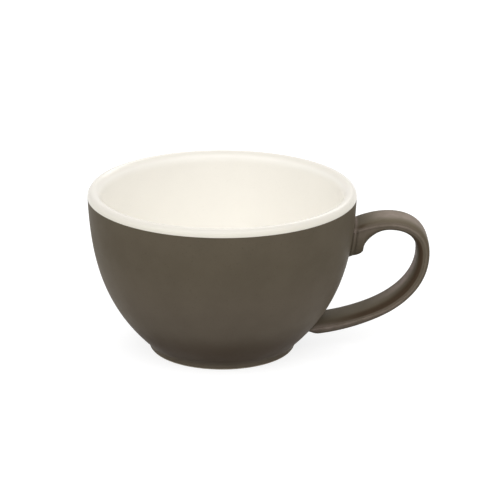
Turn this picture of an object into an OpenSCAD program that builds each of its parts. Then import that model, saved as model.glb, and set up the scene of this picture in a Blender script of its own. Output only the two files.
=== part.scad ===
// A cappuccino cup in glazed ceramic: a round bowl on a low foot ring, with a loop handle.
// Origin on the cup's axis in the plane it stands on, +Z up, the handle towards +X.

/* [Bowl] */
// Outer diameter of the rim
rim_d = 97; // [84:1:115]
// Height of the cup, from the table to the top of the lip
cup_h = 60; // [52:1:75]
// Thickness of the wall, glaze included
wall_t = 4.4; // [3:0.1:6]
// Height of the bowl's floor above the table
floor_z = 6.2; // [5:0.1:9]
// Angle of the outside where it leaves the foot, above level
foot_flare = 42; // [34:1:50]
// Lean of the outside at the rim, from plumb
rim_lean = 2.4; // [0:0.2:6]

/* [Lip] */
// Width of the lip's outer rounding
lip_out_w = 2; // [1:0.1:3]
// Height of the light lip above the glaze line
lip_rise = 2.6; // [1.5:0.1:4]
// How much thicker the lip is than the wall
lip_swell = 0.5; // [0:0.1:1.5]
// How far the lip's inner rounding reaches down
lip_in_drop = 4; // [2:0.1:8]

/* [Foot] */
// Outer diameter of the foot ring
foot_d = 53.2; // [44:0.2:60]
// Height of the foot ring's side
foot_h = 2; // [1.4:0.1:4]
// Width of the foot ring where it meets the table
foot_ring_w = 4; // [3:0.1:7]
// Depth of the recess under the foot
recess_h = 1.8; // [1.2:0.1:2.4]
// Slope of the recess's side, measured across
recess_draft = 1; // [0:0.1:2]
// Chamfer on the foot ring's edges
foot_edge = 0.4; // [0.2:0.05:0.5]

/* [Glaze] */
// Thickness of each glaze coat
glaze_t = 0.3; // [0.2:0.05:0.5]
// Bare height left at the bottom of the foot, where the glaze is wiped off
foot_bare = 0.5; // [0.5:0.1:1]

/* [Handle] */
// How far the handle stands out beyond the rim
handle_reach = 26.7; // [20:0.1:34]
// Width of the handle, from side ridge to side ridge
handle_w = 14.2; // [10:0.2:17]
// Thickness of the handle's loop
handle_t = 4.8; // [3.8:0.1:6]
// Thickness of the handle where its lower end meets the wall
handle_root_t = 5.8; // [4.6:0.1:7]
// Thickness of the blunt ridge along each side
ridge_t = 0.8; // [0.4:0.1:1.2]
// How far the side ridges lie outwards from the middle of the thickness
ridge_shift = 0.15; // [0:0.05:0.5]
// Squareness of the handle's section, where 2 is an ellipse
section_power = 3.3; // [2.4:0.1:4.5]
// How far below the lip's top the handle's upper end is centred
top_root_drop = 15.7; // [13:0.1:22]
// How far below the lip's top the loop is widest
loop_drop = 23.6; // [20:0.1:28]
// Height of the handle's lower end above the table
low_root_z = 7.9; // [7.5:0.1:12]
// Rise of the handle's upper end, above level
top_rise = 26; // [10:1:35]
// Rise of the handle's lower end, above level
low_rise = 4.4; // [0:0.2:20]

/* [Handle curve] */
// Pull of the curve as it leaves the upper end
top_pull = 13.7; // [9:0.1:20]
// Pull of the curve above its widest place
loop_high_pull = 13.3; // [8:0.1:18]
// Pull of the curve below its widest place
loop_low_pull = 19.3; // [12:0.1:24]
// Pull of the curve as it reaches the lower end
low_pull = 14.8; // [8:0.2:20]

/* [Finger spur and joints] */
// How far the spur at the upper end reaches below the handle's inner face
spur_drop = 8.1; // [4:0.1:10]
// How far the spur's blunt end reaches out from the wall
spur_reach = 3.6; // [2.8:0.1:6]
// Rounding of the spur's blunt end
spur_round = 1.5; // [0.5:0.1:2.5]
// How far from the wall the spur's curve runs out into the handle
spur_run = 12.6; // [9:0.2:16]
// How far from the wall the lower end's underside starts to round up
toe_run = 3.8; // [2:0.2:6]
// Thickness of the slip collar between wall and handle
joint_t = 1.2; // [0.8:0.1:2.5]
// Depth of the groove on each side of the collar, on the handle's flanks
groove_depth = 0.45; // [0.1:0.05:0.8]
// Half width of each groove
groove_w = 0.45; // [0.2:0.05:0.6]

/* [Hidden] */

$fn = 120;
wall_steps = 28;
lip_steps = 8;
cream = "#f4f0e4";
taupe = "#5f554a";
bare_clay = "#e6dfd0";
rim_r = rim_d / 2;
foot_r = foot_d / 2;
line_z = cup_h - lip_rise;

// Control points of the outside, from the foot's shoulder up to the glaze line
belly_share = 0.824;
lean_pull_share = 0.368;
belly = belly_share * (rim_r - foot_r);
lean_pull = lean_pull_share * (line_z - foot_h);
outside = [
    [foot_r, foot_h],
    [foot_r + belly, foot_h + belly * tan(foot_flare)],
    [rim_r - lean_pull * sin(rim_lean), line_z - lean_pull * cos(rim_lean)],
    [rim_r, line_z]
];

// Control points of the inside, from under the lip down to the floor's flat middle
lip_in_w = wall_t + lip_swell - lip_out_w;
inner_top_r = rim_r - lip_out_w - lip_in_w;
inner_top_z = cup_h - lip_in_drop;
inner_pull_share = 0.155;
corner_share = 0.61;
floor_flat_share = 0.567;
inside = [
    [inner_top_r, inner_top_z],
    [inner_top_r, inner_top_z - inner_pull_share * (inner_top_z - floor_z)],
    [foot_r + belly - corner_share * wall_t, floor_z],
    [floor_flat_share * foot_r, floor_z]
];

ring_in_r = foot_r - glaze_t - foot_ring_w;
recess_r = ring_in_r - recess_draft;

// A point and a direction on the cubic curve through control points p, at share t of its run
function curve(p, t) = pow(1 - t, 3) * p[0] + 3 * pow(1 - t, 2) * t * p[1] + 3 * (1 - t) * t * t * p[2]
    + pow(t, 3) * p[3];
function heading(p, t) = pow(1 - t, 2) * (p[1] - p[0]) + 2 * (1 - t) * t * (p[2] - p[1]) + t * t * (p[3] - p[2]);
function reversed(list) = [for (i = [len(list) - 1 : -1 : 0]) list[i]];
function eased(x) = x <= 0 ? 0 : x >= 1 ? 1 : x * x * (3 - 2 * x);

// A point beside a curve, moved to the left of its heading
function beside(p, t, gap) = let (h = heading(p, t)) curve(p, t) + gap / norm(h) * [-h.y, h.x];

// Where the foot's side and the outside meet, both moved in by inset
function foot_corner(inset) = [foot_r - inset,
    foot_h + inset * (cos(foot_flare) + tan(foot_flare) * (sin(foot_flare) - 1))];
function wall_points(inset) = [foot_corner(inset),
    for (i = [1 : wall_steps - 1]) beside(outside, i / wall_steps, inset)];
function lip_points(inset) = [
    for (i = [0 : lip_steps - 1]) let (a = 90 * i / lip_steps)
        [rim_r - lip_out_w + (lip_out_w - inset) * cos(a), line_z + (lip_rise - inset) * sin(a)],
    for (i = [0 : lip_steps]) let (a = 90 + 90 * i / lip_steps)
        [rim_r - lip_out_w + (lip_in_w - inset) * cos(a), inner_top_z + (lip_in_drop - inset) * sin(a)]
];
function floor_points(inset) = [for (i = [1 : wall_steps]) beside(inside, i / wall_steps, inset)];

// Height above the table against radius, for whatever seats on the outside
wall_heights = [for (p = concat(wall_points(0), [[rim_r, line_z]])) [p.y, p.x]];
function wall_r(z) = lookup(z, wall_heights);

// The handle's centre line in the plane through the cup's axis: one curve out, one back.
// Both ends start inside the wall.
wall_sink = joint_t + glaze_t;
top_root_z = cup_h - top_root_drop;
loop_z = cup_h - loop_drop;
loop_r = rim_r + handle_reach - handle_t / 2 + ridge_shift;
way_out = [
    [wall_r(top_root_z) - wall_sink, top_root_z],
    [wall_r(top_root_z) - wall_sink + top_pull * cos(top_rise), top_root_z + top_pull * sin(top_rise)],
    [loop_r, loop_z + loop_high_pull],
    [loop_r, loop_z]
];
way_back = [
    [loop_r, loop_z],
    [loop_r, loop_z - loop_low_pull],
    [wall_r(low_root_z) + low_pull * cos(low_rise), low_root_z + low_pull * sin(low_rise)],
    [wall_r(low_root_z), low_root_z]
];

// Places along the centre line: even and close at the collar and the spur, wider round the loop
root_steps = 24;
root_run = spur_reach + spur_round;
root_speed = 3 * top_pull * cos(top_rise);
last_root = (root_run + wall_sink) / root_speed;
out_steps = 12;
back_steps = 20;
spread_power = 1.4;

// Each station: centre, heading, share of the way back, and distance out from the wall
function station_at(c, way, back) = [c, way / norm(way), back, c.x - wall_r(c.y)];
function station(p, t, back) = station_at(curve(p, t), heading(p, t), back);
stations = [
    station(way_out, 0, 0),
    for (i = [0 : root_steps]) station(way_out, (root_run * i / root_steps + wall_sink) / root_speed, 0),
    for (i = [1 : out_steps]) station(way_out, last_root + (1 - last_root) * pow(i / out_steps, spread_power), 0),
    for (i = [1 : back_steps]) let (t = 1 - pow(1 - i / back_steps, spread_power)) station(way_back, t, t),
    station_at(way_back[3] - wall_sink * [cos(low_rise), sin(low_rise)], way_back[3] - way_back[2], 1)
];

// Across the handle, from a side ridge to the middle of the broad face
edge_shares = [0, 0.035, 0.045, 0.07, 0.11, 0.18, 0.3, 0.52];
ridge_share = 0.035;

// The least that is left of the ridge's thickness under the glaze
core_ridge_share = 0.125;

// How far out the rings stop being upright, and how far out they stop following the wall
turn_share = 0.83;
turn_run = turn_share * top_pull;
warp_share = 0.49;
warp_run = warp_share * top_pull;

// The collar's groove on the broad faces, against that on the flanks
collar_face_share = 0.25;

// How far the lower end's underside rounds up, and how full the spur's sweep is
toe_share = 0.65;
spur_power = 2.3;

// A quarter of a rounded square: 1 at the start, falling to 0 at 1
function quarter(x, power) = x >= 1 ? 0 : pow(1 - pow(x, power), 1 / power);

// Half the side ridge's thickness; under the glaze it never gets thinner than a share of its size
function ridge_h(grow) = max(ridge_t / 2 + grow, core_ridge_share * ridge_t);

// Height of a broad face above the centre line, at share u in from the ridge
function face_h(u, half, grow) = ridge_h(grow)
    + (half + grow - ridge_h(grow)) * quarter((1 - u) / (1 - ridge_share), section_power);
function groove(gap) = exp(-pow(gap / groove_w, 2));
function collar_inset(gap) = groove_depth * (groove(gap) + groove(gap - joint_t));

// The spur hangs straight down, turns a round corner at its blunt end and sweeps up into the handle
function spur_h(gap) =
    gap < spur_reach - spur_round ? spur_drop
    : gap < spur_reach ? spur_drop - spur_round + spur_round * quarter((gap - spur_reach) / spur_round + 1, 2)
    : gap < spur_run ? (spur_drop - spur_round)
        * (1 - quarter((spur_run - gap) / (spur_run - spur_reach), spur_power))
    : 0;

// One ring of the handle, grown outwards by grow, as points in space
function ring(s, grow) =
    let (
        back = s[2],
        gap = s[3],
        near_top = back == 0,
        shrink = near_top ? collar_inset(gap) : 0,
        face_shrink = collar_face_share * shrink,
        half = handle_t / 2 + (handle_root_t - handle_t) / 2 * back * back - face_shrink,
        toe = near_top ? 1 : 1 - toe_share * (1 - eased(gap / toe_run)),
        half_out = toe * (half - ridge_shift),
        half_in = half + ridge_shift + (near_top ? spur_h(gap - grow) : 0),
        half_w = handle_w / 2 - face_shrink + grow,
        half_w_in = handle_w / 2 - shrink + grow,
        turn = near_top ? eased(gap / turn_run) : 1,
        a = 90 + turn * atan2(s[1].y, s[1].x),
        slide = near_top ? [1, 0] : s[1],
        keep = eased(gap / warp_run),
        outer = [for (u = edge_shares) [face_h(u, half_out, grow), half_w * (1 - u)]],
        inner = [for (u = edge_shares) [-face_h(u, half_in, grow), half_w_in * (1 - u)]],
        flat = concat(outer, [for (q = reversed(outer)) [q.x, -q.y]], [for (q = inner) [q.x, -q.y]],
            reversed(inner))
    )
    [for (q = flat)
        let (
            x = s[0].x + q.x * cos(a),
            z = s[0].y + q.x * sin(a),
            on_wall = sqrt(pow(wall_r(z), 2) - q.y * q.y) + gap,
            pull = (1 - keep) * (on_wall - x) / slide.x
        )
        [x + pull * slide.x, q.y, z + pull * slide.y]
    ];

ring_count = 4 * len(edge_shares);
function ring_points(list, grow) = [for (s = list) each ring(s, grow)];

// Triangles between neighbouring rings; flip turns them inside out for the bore of a tube
function side_faces(rings, start, flip) = [
    for (i = [0 : rings - 2]) for (j = [0 : ring_count - 1])
        let (
            k = (j + 1) % ring_count,
            a = start + i * ring_count + j,
            b = start + i * ring_count + k,
            c = a + ring_count,
            d = b + ring_count
        )
        each (flip ? [[a, b, d], [a, d, c]] : [[a, d, b], [a, c, d]])
];
function cap_faces(start, flip) = [
    for (j = [0 : ring_count / 2 - 2])
        let (a = start + j, b = start + j + 1, c = start + ring_count - 1 - j, d = start + ring_count - 2 - j)
        each (flip ? [[a, b, c], [b, d, c]] : [[a, c, b], [b, c, d]])
];
function end_faces(from, to, flip) = [
    for (j = [0 : ring_count - 1])
        let (k = (j + 1) % ring_count)
        each (flip ? [[from + j, from + k, to + j], [from + k, to + k, to + j]]
            : [[from + j, to + j, from + k], [from + k, to + j, to + k]])
];

// The solid inside the handle's coat, over a run of stations
module handle_core(list) {
    last = (len(list) - 1) * ring_count;
    polyhedron(ring_points(list, -glaze_t),
        concat(side_faces(len(list), 0, false), cap_faces(0, true), cap_faces(last, false)));
}

// The coat alone, as a tube over the same stations
module handle_coat(list) {
    last = (len(list) - 1) * ring_count;
    bore = len(list) * ring_count;
    polyhedron(concat(ring_points(list, 0), ring_points(list, -glaze_t)),
        concat(side_faces(len(list), 0, false), side_faces(len(list), bore, true),
            end_faces(0, bore, true), end_faces(last, bore + last, false)));
}

low_rings = 9;
top_stub = [for (i = [0 : root_steps + 1]) stations[i]];
low_stub = [for (i = [len(stations) - low_rings : len(stations) - 1]) stations[i]];

// The outside as a solid down to its foot, moved in or, with a minus, out
module outside_solid(inset) {
    rotate_extrude() polygon(concat([[0, foot_h]], wall_points(inset), [[rim_r - inset, line_z], [0, line_z]]));
}

// The space that the slip collars fill, between bare wall and handle
module joint_gap() {
    rotate_extrude() polygon(concat(wall_points(-joint_t), [[rim_r + joint_t, line_z], [rim_r - glaze_t, line_z]],
        reversed(wall_points(glaze_t))));
}

module cup_body() {
    color(bare_clay) rotate_extrude() polygon(concat(
        [[0, recess_h], [recess_r, recess_h], [ring_in_r, foot_edge], [ring_in_r + foot_edge, 0],
            [foot_r - glaze_t - foot_edge, 0], [foot_r - glaze_t, foot_edge]],
        wall_points(glaze_t), lip_points(glaze_t), floor_points(glaze_t), [[0, floor_z - glaze_t]]));
}

module handle() {
    color(bare_clay) difference() {
        handle_core(stations);
        outside_solid(-joint_t);
    }
}

module upper_joint() {
    color(bare_clay) intersection() {
        handle_core(top_stub);
        joint_gap();
    }
}

module lower_joint() {
    color(bare_clay) intersection() {
        handle_core(low_stub);
        joint_gap();
    }
}

module liner_glaze() {
    color(cream) rotate_extrude() polygon(concat(
        lip_points(0), floor_points(0), [[0, floor_z], [0, floor_z - glaze_t]],
        reversed(floor_points(glaze_t)), reversed(lip_points(glaze_t))));
}

module wall_glaze() {
    color(taupe) difference() {
        rotate_extrude() polygon(concat(
            [[foot_r - glaze_t, foot_bare], [foot_r, foot_bare]], wall_points(0),
            [[rim_r, line_z], [rim_r - glaze_t, line_z]], reversed(wall_points(glaze_t))));
        handle_core(top_stub);
        handle_core(low_stub);
    }
}

module handle_glaze() {
    color(taupe) difference() {
        handle_coat(stations);
        outside_solid(0);
    }
}

module base_glaze() {
    side_r = ring_in_r - recess_draft * (foot_bare - foot_edge) / (recess_h - foot_edge);
    color(taupe) rotate_extrude() polygon([
        [0, recess_h], [recess_r, recess_h], [side_r, foot_bare], [side_r - glaze_t, foot_bare],
        [recess_r - glaze_t, recess_h - glaze_t], [0, recess_h - glaze_t]]);
}

cup_body();
handle();
upper_joint();
lower_joint();
liner_glaze();
wall_glaze();
handle_glaze();
base_glaze();
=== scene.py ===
"""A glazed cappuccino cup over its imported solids: bowl, cream liner, matt coat and loop handle."""

from math import atan2, cos, exp, pi, radians, sin, sqrt, tan

import bmesh
import bpy
import numpy as np
from bpy.props import FloatProperty, FloatVectorProperty, IntProperty, PointerProperty
from mathutils import Matrix, Vector


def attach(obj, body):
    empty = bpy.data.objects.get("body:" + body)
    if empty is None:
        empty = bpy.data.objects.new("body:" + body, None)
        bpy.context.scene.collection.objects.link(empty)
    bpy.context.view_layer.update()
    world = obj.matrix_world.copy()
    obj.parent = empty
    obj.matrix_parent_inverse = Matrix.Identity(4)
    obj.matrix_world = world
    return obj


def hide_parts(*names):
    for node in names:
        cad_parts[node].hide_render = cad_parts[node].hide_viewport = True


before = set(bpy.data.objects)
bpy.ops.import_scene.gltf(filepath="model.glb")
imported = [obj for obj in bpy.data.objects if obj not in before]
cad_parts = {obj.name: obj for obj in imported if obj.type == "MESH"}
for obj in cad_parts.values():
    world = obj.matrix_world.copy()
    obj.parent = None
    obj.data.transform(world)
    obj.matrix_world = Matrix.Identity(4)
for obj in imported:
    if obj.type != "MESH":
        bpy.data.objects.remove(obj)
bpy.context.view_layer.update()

bl_info = {
    "name": "Cappuccino cup",
    "version": (1, 0, 0),
    "blender": (4, 5, 0),
    "location": "View3D > Sidebar > Cup",
    "description": "Builds the visible glazes, clay and handle of a cappuccino cup, and its studio",
    "category": "Add Mesh",
}

MM = 0.001

# Steps along outlines that are seen, and along those that the glaze covers
FINE_WALL, FINE_LIP, FINE_FLOOR = 110, 22, 90
COARSE_WALL, COARSE_LIP, COARSE_FLOOR = 60, 10, 48
FILLET_STEPS, CORNER_STEPS = 9, 6

# The inside's curve, as shares of the bowl's depth, the wall's thickness and the foot's radius
LIP_PULL_SHARE, FLOOR_PULL_SHARE, FLAT_SHARE = 0.155, 0.61, 0.567

# Where the outside's own points start, in lengths of the fillet at the foot
FILLET_CLEARANCE = 1.15

# Rounding of the coats' edges, as shares of the glaze's thickness, and of the recess's corner
COAT_EDGE_SHARE, BASE_EDGE_SHARE = 0.8, 0.6
RECESS_CORNER = 0.6 * MM

# Points closer than this become one, and edges sharper than these stay crisp
WELD_DISTANCE = 0.002 * MM
BOWL_SHARP, HANDLE_SHARP = radians(38), radians(60)

# Heights in millimetres between which a painted tone is full and gone: painted shade low on the
# bowl, taken back off near the foot, painted light on the belly, and painted shade on the lip's
# crest
SHADED_ABOVE_FOOT, CLEAR_OF_SHADE, LIT_BELLY = (8.0, 19.0), (2.2, 4.2), (22.0, 46.0)
LIP_CREST = (59.9, 58.0)
# Distances from the axis in millimetres between which the lip's side starts
LIP_SIDE = (46.5, 47.6)
# How strongly the painted light on the belly and the painted shade low on the bowl show
LIT_AMOUNT, SHADED_AMOUNT = 0.06, 0.74

# Lamps as (name, setting of its power, place, width, depth), and what they are aimed at
LAMPS = (
    ("top_lamp", "top_power", (0.0, -0.85, 1.2), 3.2, 1.0),
    ("back_lamp", "back_power", (0.4, 1.1, 0.9), 0.9, 0.5),
    ("side_lamp", "side_power", (-1.2, -0.5, 0.7), 0.8, 0.8),
)
LAMP_AIM = Vector((0, 0, 0.03))
FLOOR_REACH = 6.0
SENSOR_WIDTH = 36
CLOSEST, FURTHEST = 0.01, 50


def number(name, description, value, **settings):
    """A property for one number."""
    return FloatProperty(name=name, description=description, default=value, **settings)


def length(name, description, mm):
    """A length property whose default is given in millimetres."""
    return number(name, description, mm * MM, unit="LENGTH", precision=5)


def angle(name, description, degrees):
    """An angle property whose default is given in degrees."""
    return number(name, description, radians(degrees), subtype="ANGLE")


def share(name, description, value, top=1.0):
    """A plain number between nothing and its top."""
    return number(name, description, value, min=0.0, max=top, subtype="FACTOR")


def tint(name, description, srgb):
    """A colour property whose default is written as 0 to 255 screen values."""
    plain = [((v / 255 + 0.055) / 1.055) ** 2.4 if v > 10 else v / 255 / 12.92 for v in srgb]
    return FloatVectorProperty(
        name=name, description=description, default=plain, size=3, subtype="COLOR", min=0.0, max=1.0
    )


class CupBowlSizes(bpy.types.PropertyGroup):
    """Sizes of the turned bowl, the same as the solids have."""

    rim_radius: length("Rim radius", "Outer radius at the glaze line", 48.5)
    cup_height: length("Cup height", "From the table to the lip's crest", 60)
    line_height: length("Glaze line height", "Height at which the cream lip starts", 57.4)
    foot_radius: length("Foot radius", "Outer radius of the foot ring", 26.6)
    foot_height: length("Foot height", "Height of the foot ring's straight side", 2)
    foot_fillet: length("Foot fillet", "Rounding where the bowl meets the foot", 0.9)
    foot_bare: length("Bare foot height", "Left free of glaze at the bottom", 0.5)
    foot_edge: length("Foot edge", "Rounding of the foot ring's lower edges", 0.4)
    foot_ring_width: length("Foot ring width", "Width of the foot ring at the table", 4)
    recess_height: length("Recess height", "Depth of the recess under the foot", 1.8)
    recess_draft: length("Recess draft", "Slope of the recess's side, measured across", 1)
    wall_thickness: length("Wall thickness", "Thickness of the wall, glaze included", 4.4)
    floor_height: length("Floor height", "The bowl's floor above the table", 6.2)
    lip_out: length("Lip's outer rounding", "Width of the lip's outer rounding", 2)
    lip_swell: length("Lip swell", "How much thicker the lip is than the wall", 0.5)
    lip_drop: length("Lip's inner rounding", "How far it reaches down inside", 4)
    glaze: length("Glaze thickness", "Thickness of each coat of glaze", 0.3)
    flare: angle("Foot flare", "Rise of the outside at the foot, above level", 42)
    lean: angle("Rim lean", "Lean of the outside at the rim, from plumb", 2.4)
    belly_share: share("Belly share", "Pull of the outside at the foot, by its spread", 0.824)
    lean_share: share("Lean share", "Pull of the outside at the rim, by its rise", 0.368)
    segments: IntProperty(name="Segments", description="Facets round the bowl", default=288, min=24)


class CupHandleSizes(bpy.types.PropertyGroup):
    """Sizes of the loop handle, its spur and its collar, the same as the solids have."""

    reach: length("Reach", "How far the handle stands out beyond the rim", 26.64)
    width: length("Width", "Width between the two side ridges", 14.2)
    thickness: length("Thickness", "Thickness of the loop", 4.8)
    root_thickness: length("Root thickness", "Thickness where the lower end meets the wall", 5.8)
    ridge: length("Ridge", "Thickness of the blunt ridge along each side", 0.8)
    ridge_shift: length("Ridge shift", "How far out the ridges lie from mid thickness", 0.15)
    ridge_sweep: length("Ridge sweep", "How much further out they run round the loop", 0.75)
    squareness: number("Squareness", "2 is an ellipse", 3.3, min=2)
    top_height: length("Upper end height", "Height of the handle's upper end", 44.3)
    loop_height: length("Loop height", "Height at which the loop is widest", 36.4)
    low_height: length("Lower end height", "Height of the handle's lower end", 7.9)
    top_rise: angle("Upper rise", "Rise of the upper end, above level", 26)
    low_rise: angle("Lower rise", "Rise of the lower end, above level", 4.4)
    top_pull: length("Upper pull", "Pull of the curve at the upper end", 13.7)
    high_pull: length("Pull above the loop", "Pull of the curve above its widest place", 13.3)
    loop_pull: length("Pull below the loop", "Pull of the curve below its widest place", 19.3)
    low_pull: length("Lower pull", "Pull of the curve at the lower end", 14.8)
    spur_drop: length("Spur drop", "How far the finger spur reaches down", 8.1)
    spur_reach: length("Spur reach", "How far the spur's blunt end reaches out", 3.6)
    spur_round: length("Spur rounding", "Rounding of the spur's blunt end", 1.5)
    spur_run: length("Spur run", "How far out the spur's curve ends", 12.6)
    toe_run: length("Toe run", "Where the lower end's underside rounds up", 3.8)
    collar: length("Collar", "Width of the slip collar at the upper end", 1.2)
    groove: length("Groove depth", "Depth of the grooves beside the collar", 0.45)
    groove_width: length("Groove width", "Half width of each groove", 0.45)
    fillet: length("Glaze fillet", "How far the glaze runs out at the lower end", 0.5)


class CupGlazeLooks(bpy.types.PropertyGroup):
    """Colours and finish of glazes and clay."""

    brown: tint("Brown glaze", "Colour of the matt outer glaze", (106, 97, 82))
    # The handle's copy of the glaze is made lighter, as painted light
    handle_painted_light: share("Handle tone", "How much lighter the handle's brown glaze is", 1.08, 2.0)
    # Painted light: lighter glaze on the handle's ridges, faces and collar, and on the bowl's belly
    brown_painted_light: tint("Thin brown glaze", "Where the glaze breaks over a ridge", (198, 179, 171))
    # Painted shade: darker glaze beside the handle's ridges, near its upper root and low on the bowl
    brown_painted_shade: tint("Pooled brown glaze", "Where the glaze gathers in a corner", (76, 62, 48))
    cream: tint("Cream glaze", "Colour of the gloss glaze inside", (250, 247, 240))
    cream_lip: tint("Cream glaze outside", "The glaze on the lip's outer side", (250, 245, 231))
    # Painted shade: the cream made darker on the lip's crest
    cream_painted_shade: tint("Thin cream glaze", "The glaze on the lip's crest", (235, 230, 220))
    clay: tint("Clay", "Colour of the bare fired clay", (205, 193, 172))
    slip: tint("Slip", "Colour of the clay slip in the joints", (190, 177, 156))
    brown_roughness: share("Brown roughness", "Roughness of the matt glaze", 0.55)
    cream_roughness: share("Cream roughness", "Roughness of the gloss glaze", 0.22)


class CupStageSettings(bpy.types.PropertyGroup):
    """The studio: camera, lamps, floor and surroundings."""

    lens: number("Lens", "Focal length on a 36 mm sensor", 175.92, unit="CAMERA")
    distance: length("Camera distance", "From the camera to the middle of the foot", 899.7)
    rise: angle("Camera rise", "Angle of the camera above the table", 21.305)
    tilt: angle("Camera tilt", "How far down the camera looks", 19.12)
    turn: angle("Camera turn", "How far to the right the camera looks", 0.6904)
    roll: angle("Camera roll", "How far the camera leans about its own view", 0.2462)
    top_power: number("Top lamp", "Power of the lamp above", 15.8, unit="POWER")
    back_power: number("Back lamp", "Power of the lamp behind", 4.0, unit="POWER")
    side_power: number("Side lamp", "Power of the lamp at the left", 0.8, unit="POWER")
    surround: share("Surroundings", "Light from all round", 0.58, 2.0)
    floor_tone: share("Floor tone", "Light that the floor gives back", 0.41)
    floor_glow: share("Floor glow", "What the floor adds where it is seen directly", 0.78)


# Curves and outlines


def on_curve(p, t):
    """The point at share t of a cubic curve's run."""
    s = 1 - t
    return p[0] * s**3 + p[1] * 3 * s * s * t + p[2] * 3 * s * t * t + p[3] * t**3


def curve_heading(p, t):
    """The direction of a cubic curve at share t of its run."""
    s = 1 - t
    return ((p[1] - p[0]) * s * s + (p[2] - p[1]) * 2 * s * t + (p[3] - p[2]) * t * t).normalized()


def beside_curve(p, t, gap):
    """A point beside a curve, to the left of its heading."""
    h = curve_heading(p, t)
    return on_curve(p, t) + gap * Vector((-h.y, h.x))


def eased(x):
    """A soft step from 0 to 1."""
    x = min(max(x, 0.0), 1.0)
    return x * x * (3 - 2 * x)


def risen(x, start, run):
    """A soft step from 0 to 1 that begins at start and takes a run."""
    return eased((x - start) / run)


def hump(x, middle, spread):
    """A soft hump, 1 at its middle."""
    return exp(-(((x - middle) / spread) ** 2))


def blend(ends, x):
    """A value x of the way from the first end to the second."""
    return ends[0] + (ends[1] - ends[0]) * x


def quarter(x, power):
    """A quarter of a rounded square: 1 at 0, falling to 0 at 1."""
    return 0.0 if x >= 1 else (1 - max(x, 0.0) ** power) ** (1 / power)


def bend(low, corner, high, steps):
    """A short curve from low to high that rounds off the corner between them."""
    shares = np.linspace(0, 1, steps)
    return [low * (1 - t) ** 2 + corner * 2 * t * (1 - t) + high * t * t for t in shares]


def rounded(corner, before, after, radius):
    """A corner of an outline, rounded between its two sides."""
    low = corner + (before - corner).normalized() * radius
    high = corner + (after - corner).normalized() * radius
    return bend(low, corner, high, CORNER_STEPS)


def outside_curve(b):
    """Control points of the bowl's outside, from the foot's shoulder to the glaze line."""
    belly = b.belly_share * (b.rim_radius - b.foot_radius)
    pull = b.lean_share * (b.line_height - b.foot_height)
    return [
        Vector((b.foot_radius, b.foot_height)),
        Vector((b.foot_radius + belly, b.foot_height + belly * tan(b.flare))),
        Vector((b.rim_radius - pull * sin(b.lean), b.line_height - pull * cos(b.lean))),
        Vector((b.rim_radius, b.line_height)),
    ]


def inside_curve(b):
    """Control points of the inside, from under the lip down to the flat middle of the floor."""
    top = Vector((b.rim_radius - b.wall_thickness - b.lip_swell, b.cup_height - b.lip_drop))
    belly = b.belly_share * (b.rim_radius - b.foot_radius)
    return [
        top,
        top - Vector((0, LIP_PULL_SHARE * (top.y - b.floor_height))),
        Vector((b.foot_radius + belly - FLOOR_PULL_SHARE * b.wall_thickness, b.floor_height)),
        Vector((FLAT_SHARE * b.foot_radius, b.floor_height)),
    ]


def foot_corner(b, inset):
    """Where the foot's side and the outside meet, both moved in."""
    rise = cos(b.flare) + tan(b.flare) * (sin(b.flare) - 1)
    return Vector((b.foot_radius - inset, b.foot_height + inset * rise))


def recess_radii(b):
    """Radii of the recess under the foot, at the table and at its ceiling."""
    ring_in = b.foot_radius - b.glaze - b.foot_ring_width
    return ring_in, ring_in - b.recess_draft


def wall_outline(b, inset, steps, fillet=0.0):
    """The outside from foot to glaze line; with a fillet, the corner at the foot is rounded."""
    curve = outside_curve(b)
    corner = foot_corner(b, inset)
    if fillet > 0:
        high = corner + fillet * curve_heading(curve, 0)
        start = bend(corner - Vector((0, fillet)), corner, high, FILLET_STEPS)
        first = fillet / (3 * (curve[1] - curve[0]).length) * FILLET_CLEARANCE
    else:
        start = [corner]
        first = 1 / steps
    return start + [beside_curve(curve, t, inset) for t in np.linspace(first, 1, steps)]


def lip_outline(b, inset, steps):
    """The lip, from the glaze line over the crest to the inside."""
    outer = (b.lip_out, b.line_height, b.cup_height - b.line_height)
    inner = (b.wall_thickness + b.lip_swell - b.lip_out, b.cup_height - b.lip_drop, b.lip_drop)
    points = []
    for i in range(2 * steps + 1):
        a = pi / 2 * i / steps
        width, base, rise = outer if i < steps else inner
        across = b.rim_radius - b.lip_out + (width - inset) * cos(a)
        points.append(Vector((across, base + (rise - inset) * sin(a))))
    return points


def floor_outline(b, inset, steps):
    """The inside, from under the lip to the flat middle of the floor."""
    curve = inside_curve(b)
    return [beside_curve(curve, t, inset) for t in np.linspace(1 / steps, 1, steps)]


# Nodes, for shapes and for materials


def group_with(name, inputs, outputs, family="ShaderNodeTree"):
    """An empty node group with named sockets, listed by kind, and those sockets inside it."""
    tree = bpy.data.node_groups.new(name, family)
    for way, kinds in (("INPUT", inputs), ("OUTPUT", outputs)):
        for kind, labels in kinds.items():
            for label in labels:
                tree.interface.new_socket(label, in_out=way, socket_type="NodeSocket" + kind)
    given, result = tree.nodes.new("NodeGroupInput"), tree.nodes.new("NodeGroupOutput")
    return tree, given.outputs, result.inputs


def add_node(tree, kind, inputs=None, **settings):
    """A node with its settings, and with its inputs linked or given plain values."""
    node = tree.nodes.new(kind)
    for label, value in settings.items():
        setattr(node, label, value)
    for label, value in (inputs or {}).items():
        socket = node.inputs[label]
        if hasattr(value, "links"):
            tree.links.new(value, socket)
        elif socket.type == "RGBA" and len(value) == 3:
            socket.default_value = (*value, 1)
        else:
            socket.default_value = value
    return node


def noise_node(tree, vector, scale, detail, roughness=0.5):
    """The value of a noise texture on given coordinates, at so many waves a metre."""
    inputs = {"Vector": vector, "Scale": scale, "Detail": detail, "Roughness": roughness}
    return add_node(tree, "ShaderNodeTexNoise", inputs).outputs["Fac"]


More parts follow.
